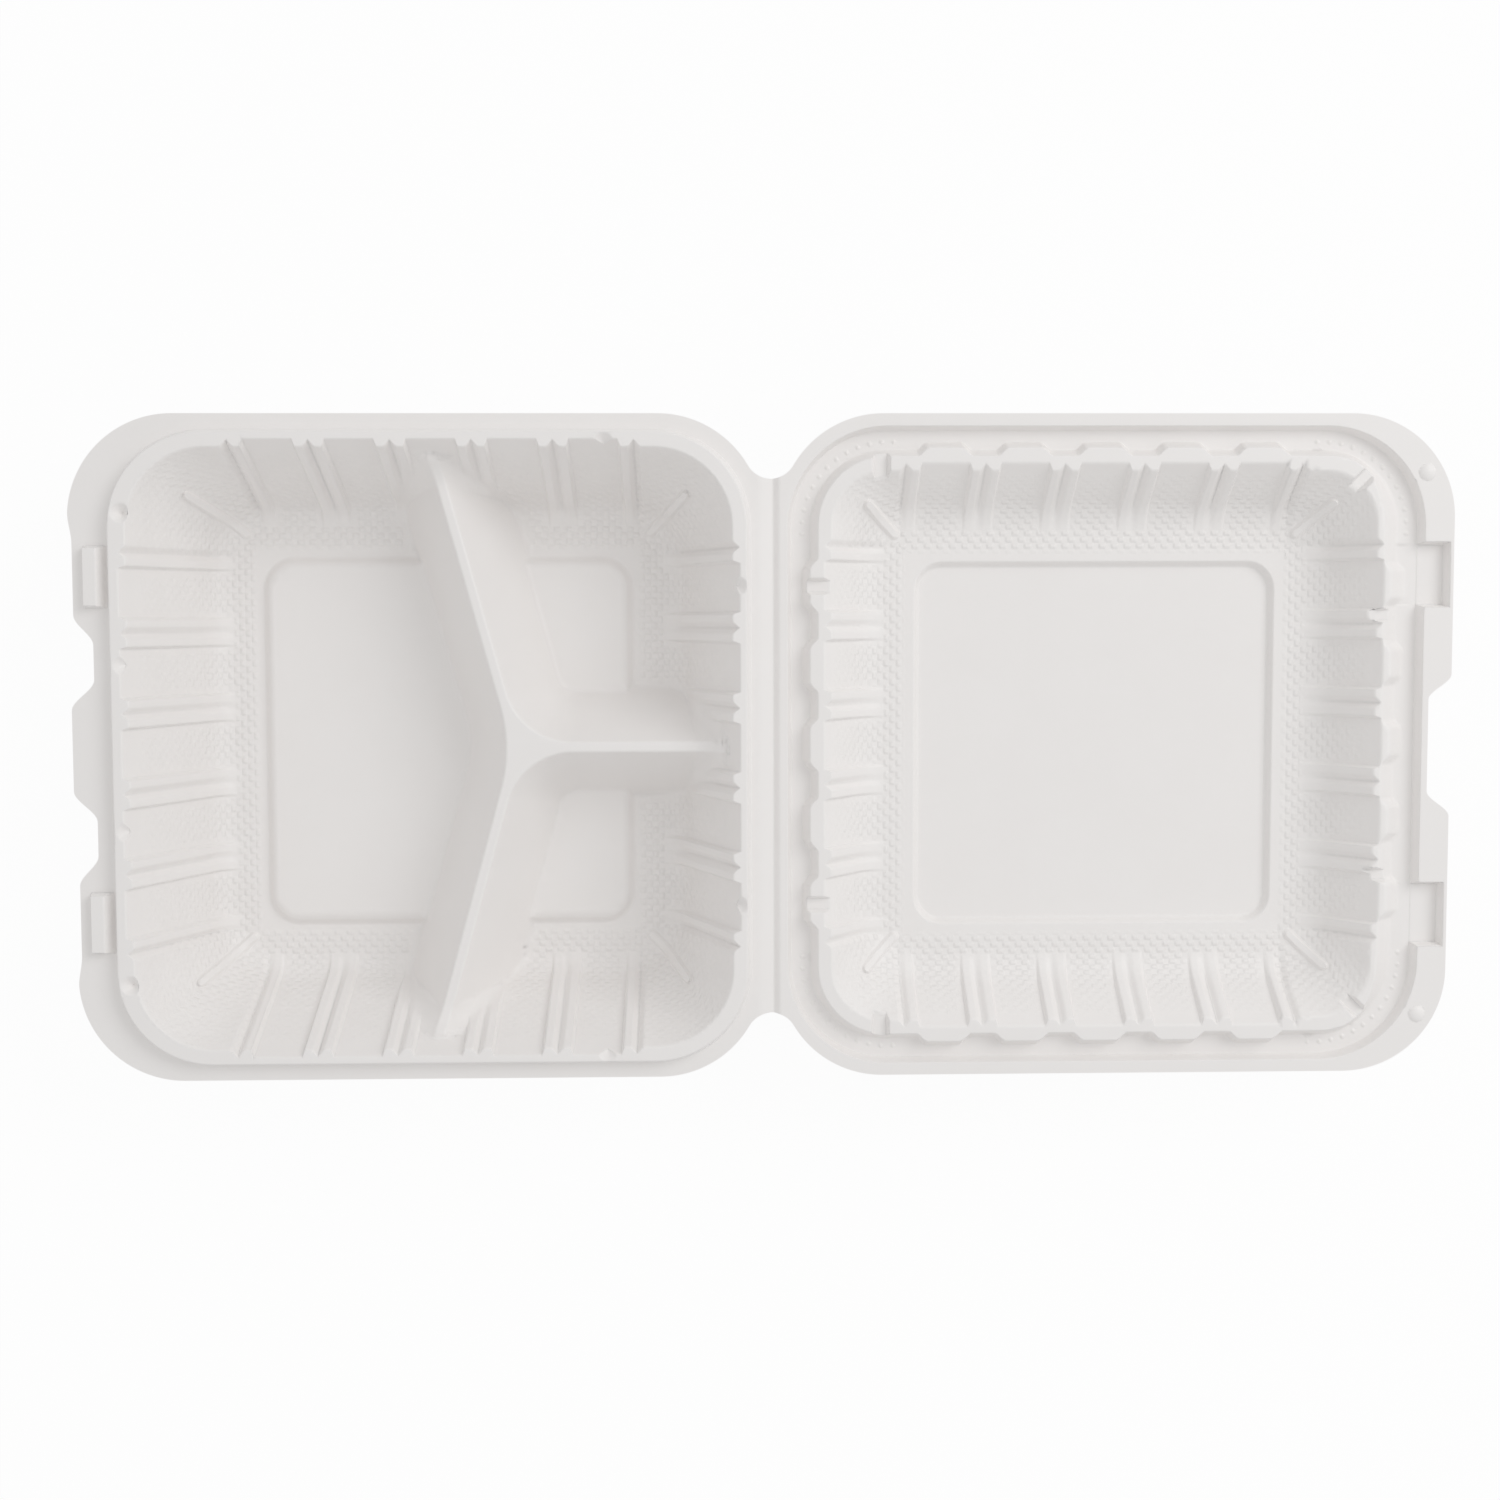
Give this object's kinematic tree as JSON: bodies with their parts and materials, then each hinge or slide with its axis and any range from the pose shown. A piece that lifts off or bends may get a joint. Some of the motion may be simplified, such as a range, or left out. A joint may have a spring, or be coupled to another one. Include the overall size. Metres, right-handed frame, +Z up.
{
  "type": "three-compartment clamshell container",
  "caption": "Square white takeaway container formed from one plastic sheet: fluted tray parted by a Y-shaped divider, with a shallow fluted lid on a living hinge.",
  "frame": {"origin": "centre of the open container's outline, on the table under the base", "axes": "+X from the base to the opened lid, +Y along the fold, +Z up out of the tray"},
  "size_m": [0.4772, 0.23, 0.0535],
  "materials": {
    "sheet": "fine-grained matte, filled polypropylene"
  },
  "bodies": {
    "base": {"base_tray": "sheet"},
    "lid": {"lid": "sheet"}
  },
  "joints": [
    {"name": "lid_hinge", "type": "hinge", "parent": "base", "child": "lid", "pos_m": [0.00115, 0, 0.0486], "axis": [0, -1, 0], "range_deg": [-7.5, 180]}
  ]
}
